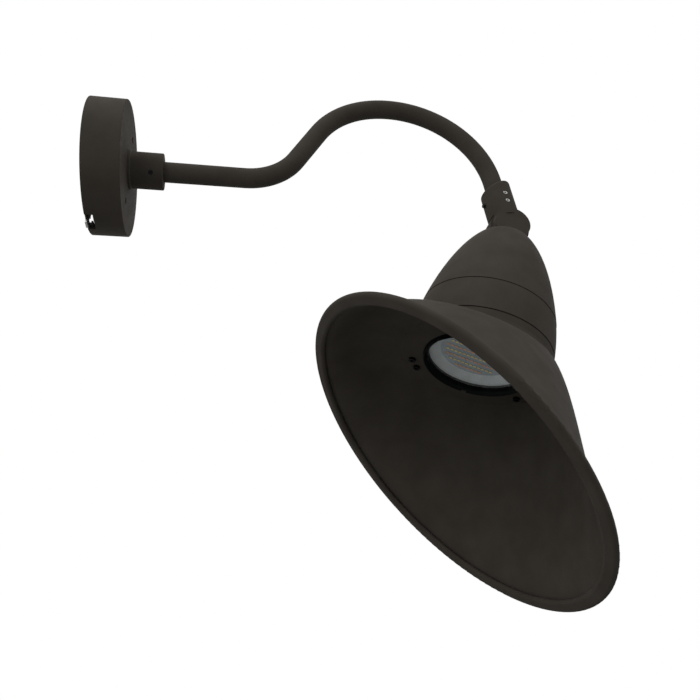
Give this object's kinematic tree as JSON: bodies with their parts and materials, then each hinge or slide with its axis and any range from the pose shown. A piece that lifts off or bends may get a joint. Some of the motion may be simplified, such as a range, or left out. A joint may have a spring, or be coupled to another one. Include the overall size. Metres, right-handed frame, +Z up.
{
  "type": "gooseneck wall sconce",
  "caption": "Gooseneck wall sconce with a round canopy, bent tube arm, swivel knuckle and angled shade over a flat lens.",
  "frame": {"origin": "centre of the canopy's back, on the wall", "axes": "+X out of the wall along the arm, +Z up the wall, +Y along the wall away from the picture's side"},
  "size_m": [0.477, 0.3492, 0.5869],
  "materials": {
    "bronze_coat": "satin",
    "bronze_casting": "satin",
    "black_casting": "satin",
    "zinc_steel": "brushed",
    "screw_black": "satin",
    "green_screw": "satin",
    "sink_alloy": "satin",
    "board_white": "gloss",
    "led_warm": "gloss",
    "led_cool": "gloss",
    "reflector_white": "satin",
    "lens_glass": "gloss",
    "seal_rubber": "matte",
    "foam": "matte",
    "friction_disc": "matte",
    "driver_case": "satin",
    "wire_black": "matte",
    "wire_white": "matte",
    "wire_green": "matte",
    "connector_red": "matte"
  },
  "bodies": {
    "base": {"mounting_plate": "zinc_steel", "ground_screw": "green_screw", "canopy": "bronze_casting", "canopy_gasket": "foam", "canopy_screws": "screw_black", "hub": "bronze_casting", "hub_locknut": "zinc_steel", "hub_set_screw": "screw_black"},
    "arm": {"arm_tube": "bronze_coat", "line_wire": "wire_black", "neutral_wire": "wire_white", "ground_wire": "wire_green", "wire_connectors": "connector_red"},
    "knuckle": {"knuckle_sleeve": "bronze_casting", "sleeve_set_screws": "screw_black", "lock_screw": "screw_black", "pivot_bolt": "zinc_steel", "friction_washer": "friction_disc", "bolt_washer": "zinc_steel"},
    "head": {"knuckle_lug": "bronze_casting", "foot_nut": "zinc_steel", "dome_housing": "bronze_casting", "middle_band": "bronze_casting", "lower_ring": "bronze_casting", "heat_sink": "sink_alloy", "sink_screws": "zinc_steel", "led_board": "board_white", "leds_warm": "led_warm", "leds_cool": "led_cool", "reflector_ring": "reflector_white", "lens_gasket": "seal_rubber", "lens": "lens_glass", "retaining_ring": "black_casting", "driver_bracket": "zinc_steel", "driver": "driver_case", "driver_screws": "zinc_steel", "board_leads": "wire_white", "head_leads": "wire_white", "shade_gasket": "seal_rubber", "shade": "bronze_casting", "shade_screws": "screw_black", "bond_screw": "zinc_steel"}
  },
  "joints": [
    {"name": "arm_swivel", "type": "hinge", "parent": "base", "child": "arm", "pos_m": [0, 0, 0], "axis": [1, 0, 0], "range_deg": [-45, 45]},
    {"name": "head_swivel", "type": "hinge", "parent": "arm", "child": "knuckle", "pos_m": [0.44932, 0, -0.04999], "axis": [-0.0872, 0, 0.9962], "range_deg": [-90, 90]},
    {"name": "head_tilt", "type": "hinge", "parent": "knuckle", "child": "head", "pos_m": [0.44932, 0, -0.04999], "axis": [0, 1, 0], "range_deg": [-45, 15]}
  ]
}
